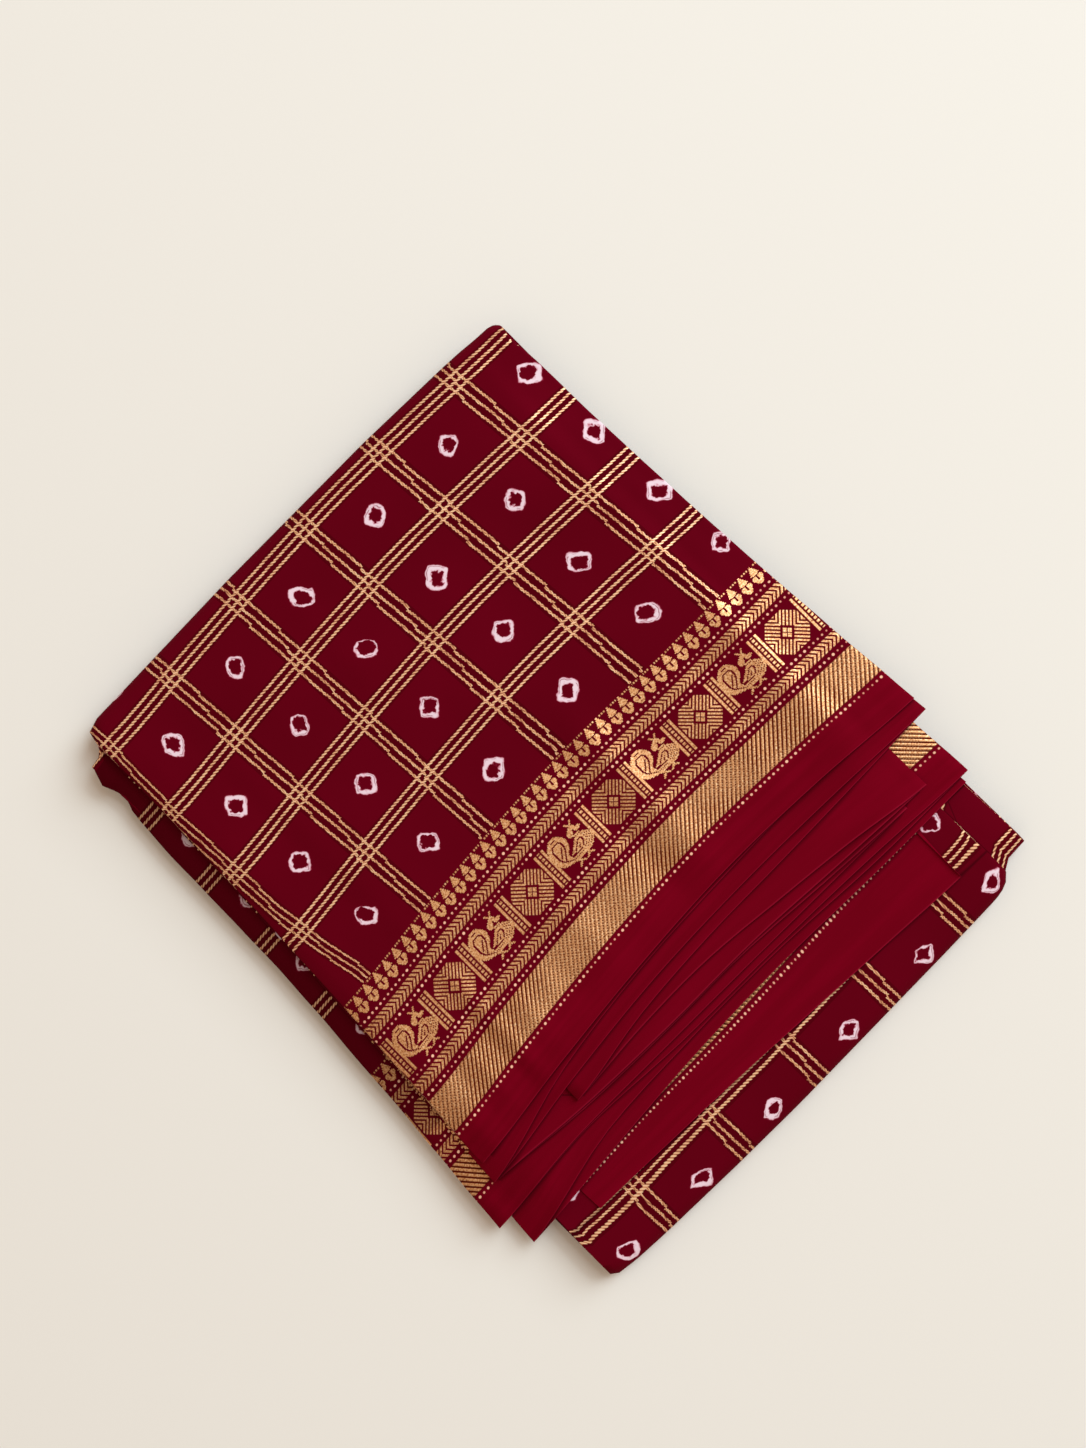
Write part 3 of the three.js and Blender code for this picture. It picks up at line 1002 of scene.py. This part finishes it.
def borderSteeples(tree, run, edge):
    x = nearest(tree, run, border["steeplePitch"])[0]
    column = addNode(tree, "Math.MULTIPLY_ADD", x, 1 / border["square"], len(steepleChart[0]) / 2)
    top = border["steepleStart"] + len(steepleChart) * border["square"]
    row = addNode(tree, "Math.MULTIPLY_ADD", edge, -1 / border["square"], top / border["square"])
    motif = chartedMotif(tree, steepleChart, column, row)
    # Small flecks run in a row between the tips of the steeples
    away = addNode(tree, "Math.ABSOLUTE", nearest(tree, run, border["fleckPitch"])[0])
    beside = addNode(tree, "Math.GREATER_THAN", addNode(tree, "Math.ABSOLUTE", x), border["fleckClear"])
    fleck = addNode(tree, "Math.MULTIPLY", within(tree, away, border["fleckHalf"], 0.4),
                    within(tree, apart(tree, edge, top - 0.6), border["fleckHalf"], 0.4))
    return together(tree, motif, addNode(tree, "Math.MULTIPLY", fleck, beside))


cotton = {
    # The dyed cloth, its plain edge, and the ground that carries zari
    "ground": "5a000f", "groundLight": "680015", "selvedge": "6f0014", "paintedWrinkleLight": "760017",
    # On the next line: the lighter edge thread of the selvedge with a painted highlight along it, painted
    # shade in the gaps under an edge above, painted shade among the check's threads, and the brown ground
    # under the gold band
    "rimAndHighlight": "8a0f27", "gap": "1c0003", "paintedThreadShade": "4c0009", "underBand": "5a1506",
    # Zari with a painted glint, its usual tone and a painted shaded side, and the redder thread of the check
    "zariPaintedGlint": "ffdaaa", "zari": "e8a56e", "zariPaintedShade": "70280a", "checkThread": "f6ac8a",
    "dots": "ffc4a4", "dotsDim": "da8c74", "undyed": "efd3da", "bleed": "8c1a34", "halfDyed": "d28a98",
    "thread": 0.55,  # real threads are 0.25 mm apart, drawn coarser so that the weave shows
    "mottle": 0.012,  # patches of deeper dye to a millimetre
    "streaks": (0.011, 0.19),  # streaks to a millimetre in the plain edge, along and across: wrinkles, with painted light and shade along them
    "sparkle": 0.9,  # flecks of painted glint on the zari to a millimetre
    "plainEdge": 23.0,  # how wide the plain edge is
    "rimWidth": 0.45,
    "stripShade": 0.7,  # how much painted shade darkens the ground among the check's threads
    "paintedShadeReach": (0.9, 3.2),  # how far the painted shade under an edge reaches, at least and at most
    "paintedShadeWaver": 0.014,  # changes of that reach to a millimetre
    # how dark the painted shade under an edge is
    "paintedEdgeShade": 0.58,
    "relief": {"ribs": 0.14, "weave": 0.014, "streaks": 0.3},
    "clothRoughness": 0.8, "zariRoughness": 0.45,
    "motifMetal": 0.75, "checkMetal": 0.4,
}


def mapInMm(tree, name):
    # The two coordinates of a UV map, in millimetres
    scaled = addNode(tree, "VectorMath.SCALE", {0: addNode(tree, "UVMap", uv_map=name), 3: 1000.0})
    return addNode(tree, "SeparateXYZ", scaled).node.outputs[:2]


def makeCottonMaterial():
    # Plain-woven mercerised cotton, hand-dyed over tied knots, with flat zari thread floats woven in:
    # a soft matte maroon with a faint lustre, and warm gold that glints as the threads turn, partly by its
    # metallic sheen and partly by glint painted into its colour
    material = bpy.data.materials.new("wovenCottonZari")
    material.use_nodes = True
    tree = material.node_tree
    tree.nodes.clear()
    along, across = mapInMm(tree, "cloth")
    run = mapInMm(tree, "run")[0]
    edge = addNode(tree, "Math.MINIMUM", across,
                   addNode(tree, "Math.SUBTRACT", float(saree["width"]), across))
    body = addNode(tree, "Math.GREATER_THAN", edge, border["body"])
    grain = addNode(tree, "CombineXYZ", along, across, 0.0)

    lines, glint, strips = zariLines(tree, along, across, body)
    rings, bleed, whiteness = tiedRings(tree, along, across, body)
    dots, dotChance = borderDots(tree, run, edge)
    band, bandArea, swell = borderBand(tree, run, edge)
    motifs = together(tree, borderChevrons(tree, run, edge), borderFrieze(tree, run, edge),
                      borderSteeples(tree, run, edge), band)
    zari = together(tree, lines, motifs)

    mottle = addNode(tree, "TexNoise", {"Vector": grain, "Scale": cotton["mottle"], "Detail": 2.0})
    ground = addNode(tree, "Mix", {0: mottle, 6: linearColour(cotton["ground"]),
                                   7: linearColour(cotton["groundLight"])}, data_type="RGBA", out=2)
    plain = within(tree, edge, cotton["plainEdge"], 3.0)
    streaksAlong, streaksAcross = cotton["streaks"]
    streaks = addNode(tree, "TexNoise", {
        "Vector": addNode(tree, "CombineXYZ", addNode(tree, "Math.MULTIPLY", along, streaksAlong),
                          addNode(tree, "Math.MULTIPLY", across, streaksAcross), 0.0),
        "Scale": 1.0, "Detail": 2.0})
    # Painted light and shade: the plain edge is lighter and darker along the wrinkles that its bump also
    # makes
    wrinkleLightShare = addNode(tree, "MapRange", {0: streaks, 1: 0.38, 2: 0.66, 3: 0.0, 4: 1.0})
    plainCloth = addNode(tree, "Mix", {0: wrinkleLightShare, 6: linearColour(cotton["selvedge"]),
                                       7: linearColour(cotton["paintedWrinkleLight"])}, data_type="RGBA", out=2)
    ground = addNode(tree, "Mix", {0: plain, 6: ground, 7: plainCloth}, data_type="RGBA", out=2)
    # The selvedge's lighter edge thread, with a painted highlight where the edge catches the light
    rimAndHighlight = addNode(tree, "Math.MULTIPLY", within(tree, edge, cotton["rimWidth"], 0.3), 0.7)
    # Painted shade on the ground among the raised threads of the check
    shaded = addNode(tree, "Math.MULTIPLY", strips, cotton["stripShade"])
    # Painted glint and shade: the zari's colour runs from a shaded brown to a bright glint, with the twist
    # of the check's threads and in flecks over the border
    sparkle = addNode(tree, "TexNoise", {"Vector": grain, "Scale": cotton["sparkle"], "Detail": 1.0})
    shine = addNode(tree, "Mix", {0: lines, 2: sparkle, 3: glint})
    gold = addNode(tree, "ValToRGB", shine)
    rampNode = gold.node.color_ramp
    rampNode.elements[0].position, rampNode.elements[1].position = 0.18, 0.82
    rampNode.elements[0].color = linearColour(cotton["zariPaintedShade"])
    rampNode.elements[1].color = linearColour(cotton["zariPaintedGlint"])
    rampNode.elements.new(0.5).color = linearColour(cotton["zari"])
    copper = addNode(tree, "Mix", {0: addNode(tree, "Math.MULTIPLY", lines, 0.3), 6: gold,
                                   7: linearColour(cotton["checkThread"])}, data_type="RGBA", out=2)
    dotColour = addNode(tree, "Mix", {0: dotChance, 6: linearColour(cotton["dotsDim"]),
                                      7: linearColour(cotton["dots"])}, data_type="RGBA", out=2)
    undyed = addNode(tree, "Mix", {0: whiteness, 6: linearColour(cotton["halfDyed"]),
                                   7: linearColour(cotton["undyed"])}, data_type="RGBA", out=2)
    # Painted shade: the colour is darker in the narrow gap just under the selvedge of the layer above
    packX, underEdge = mapInMm(tree, "underEdge")
    reach = addNode(tree, "TexNoise", {"Vector": addNode(tree, "CombineXYZ", packX, 0.0, 0.0),
                                       "Scale": cotton["paintedShadeWaver"], "Detail": 1.0})
    shortest, longest = cotton["paintedShadeReach"]
    reach = addNode(tree, "MapRange", {0: reach, 1: 0.35, 2: 0.65, 3: shortest, 4: longest})
    fromEdge = addNode(tree, "Math.ABSOLUTE", underEdge)
    paintedEdgeShade = addNode(tree, "Math.SUBTRACT", 1.0, addNode(tree, "Math.DIVIDE", fromEdge, reach),
                       use_clamp=True)
    paintedEdgeShade = addNode(tree, "Math.MULTIPLY", paintedEdgeShade, cotton["paintedEdgeShade"])

    # Each of these lies over the ones before it
    laid = [(rimAndHighlight, "rimAndHighlight"), (shaded, "paintedThreadShade"), (bandArea, "underBand"), (bleed, "bleed"),
            (zari, copper), (dots, dotColour), (rings, undyed), (paintedEdgeShade, "gap")]
    colour = ground
    for share, over in laid:
        over = linearColour(cotton[over]) if isinstance(over, str) else over
        colour = addNode(tree, "Mix", {0: share, 6: colour, 7: over}, data_type="RGBA", out=2)

    warp = addNode(tree, "Math.SINE", addNode(tree, "Math.MULTIPLY", along, 2 * math.pi / cotton["thread"]))
    weft = addNode(tree, "Math.SINE", addNode(tree, "Math.MULTIPLY", across, 2 * math.pi / cotton["thread"]))
    weave = addNode(tree, "Math.MULTIPLY", warp, weft)
    relief = cotton["relief"]
    raised = addNode(tree, "Math.MULTIPLY_ADD", swell, relief["ribs"],
                     addNode(tree, "Math.MULTIPLY", weave, relief["weave"]))
    wrinkled = addNode(tree, "Math.MULTIPLY", streaks,
                       addNode(tree, "Math.MULTIPLY", plain, relief["streaks"]))
    raised = addNode(tree, "Math.ADD", raised, wrinkled)
    normal = addNode(tree, "Bump", {"Height": raised, "Distance": metresPerMm, "Strength": 0.8})
    motifMetal = addNode(tree, "Math.MULTIPLY", motifs, cotton["motifMetal"])
    metallic = addNode(tree, "Mix", {0: lines, 2: motifMetal, 3: cotton["checkMetal"]})
    roughness = addNode(tree, "Mix", {0: zari, 2: cotton["clothRoughness"], 3: cotton["zariRoughness"]})
    shader = addNode(tree, "BsdfPrincipled", {
        "Base Color": colour,
        "Metallic": metallic,
        "Roughness": roughness,
        "Normal": normal,
        "Specular IOR Level": 0.02,
    })
    output = tree.nodes.new("ShaderNodeOutputMaterial")
    tree.links.new(shader, output.inputs["Surface"])
    return material


def makeFloor():
    # A plain pale surface, not part of the object
    half = 20.0
    mesh = bpy.data.meshes.new("paleFloor")
    mesh.from_pydata([(-half, -half, 0), (half, -half, 0), (half, half, 0), (-half, half, 0)], [],
                     [(0, 1, 2, 3)])
    floor = bpy.data.objects.new("paleFloor", mesh)
    bpy.context.scene.collection.objects.link(floor)
    material = bpy.data.materials.new("mattePaper")
    material.use_nodes = True
    shader = material.node_tree.nodes["Principled BSDF"]
    shader.inputs["Base Color"].default_value = linearColour("f0e8dd")
    shader.inputs["Roughness"].default_value = 0.9
    mesh.materials.append(material)


photoView = {
    "height": 1448,  # in pixels
    "mmPerPixel": 0.6,
    "middle": (31.8, 37.3),  # X and Y under the middle of the picture
    "turn": -45,  # the pack lies at this angle in the picture
    "lens": 50, "sensor": 36,
}


def makeCamera():
    data = bpy.data.cameras.new("photoCamera")
    data.lens, data.sensor_height, data.sensor_fit = photoView["lens"], photoView["sensor"], "VERTICAL"
    camera = bpy.data.objects.new("photoCamera", data)
    bpy.context.scene.collection.objects.link(camera)
    seen = photoView["height"] * photoView["mmPerPixel"] * metresPerMm
    rise = seen * photoView["lens"] / photoView["sensor"]
    x, y = (value * metresPerMm for value in photoView["middle"])
    camera.location = (x, y, rise + cadBox[1][2])
    camera.rotation_euler = (0, 0, math.radians(photoView["turn"]))
    bpy.context.scene.camera = camera


studio = {
    "world": ("ffe9d4", 0.52),
    "key": {"place": (5.6, 0.2, 3.7), "size": 4.2, "power": 380, "colour": "dcf1ff"},
    "softbox": {"place": (2.4, 0.3, 4.0), "size": 1.9, "power": 62, "colour": "dcf1ff"},
}


def makeLights():
    world = bpy.data.worlds.new("softStudio")
    bpy.context.scene.world = world
    world.use_nodes = True
    bpy.context.scene.view_settings.view_transform = "Standard"  # shows each colour as its hex gives it
    background = world.node_tree.nodes["Background"]
    hexText, strength = studio["world"]
    background.inputs[0].default_value = linearColour(hexText)
    background.inputs[1].default_value = strength
    for name in ("key", "softbox"):
        entry = studio[name]
        data = bpy.data.lights.new(name, "AREA")
        data.energy, data.size = entry["power"], entry["size"]
        data.color = linearColour(entry["colour"])[:3]
        lamp = bpy.data.objects.new(name, data)
        lamp.location = entry["place"]
        lamp.rotation_euler = (-Vector(entry["place"])).to_track_quat("-Z", "Y").to_euler()
        bpy.context.scene.collection.objects.link(lamp)


makeCamera()
makeFloor()
makeLights()
print("camera, floor and lights placed")
cloth = makeSaree()
cloth.data.materials.append(makeCottonMaterial())
print("cotton and zari ready")
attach(cloth, "root")
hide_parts("saree")
